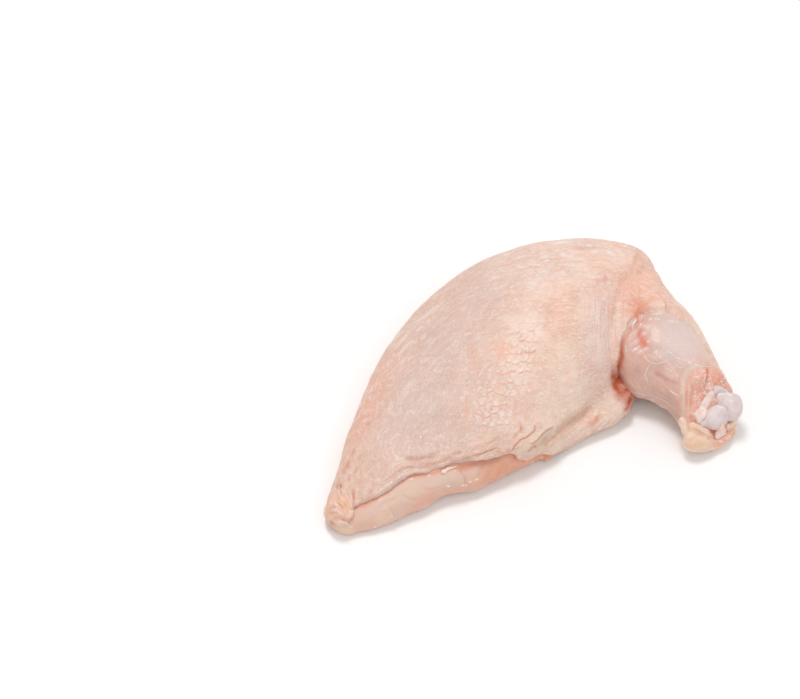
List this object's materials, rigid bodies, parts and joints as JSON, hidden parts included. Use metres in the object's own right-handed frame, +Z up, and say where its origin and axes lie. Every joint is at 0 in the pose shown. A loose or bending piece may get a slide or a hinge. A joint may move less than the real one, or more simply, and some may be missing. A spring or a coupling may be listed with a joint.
{
  "type": "raw chicken breast with wing joint",
  "caption": "Raw skin-on chicken breast lying on its flat side, pointed at one end, with the first joint of the wing still attached and cut open at the elbow.",
  "frame": {"origin": "middle of the footprint of the whole part, on the board that it rests on", "axes": "+X along the breast from its pointed tip to the shoulder, +Y to the keel side, away from the wing joint, +Z up from the flat inner face to the skin"},
  "size_m": [0.1786, 0.13, 0.0374],
  "materials": {
    "breast_flesh": "moist raw breast meat, pale pink to orange-pink, softly glossy",
    "wing_flesh": "moist raw wing meat under a thin clear membrane, pink-grey with white fibres, glossy",
    "skin": "moist pale cream-pink poultry skin with rows of feather pits, softly glossy",
    "cartilage": "wet blue-white cartilage over bone, smooth and glossy",
    "tendon": "wet translucent pinkish white, glossy",
    "ligament": "wet cream white, glossy"
  },
  "bodies": {
    "root": {"breast_meat": "breast_flesh", "wing_meat": "wing_flesh", "skin": "skin", "wing_bone": "cartilage", "elbow_tendon": "tendon", "elbow_ligament": "ligament"}
  },
  "joints": []
}
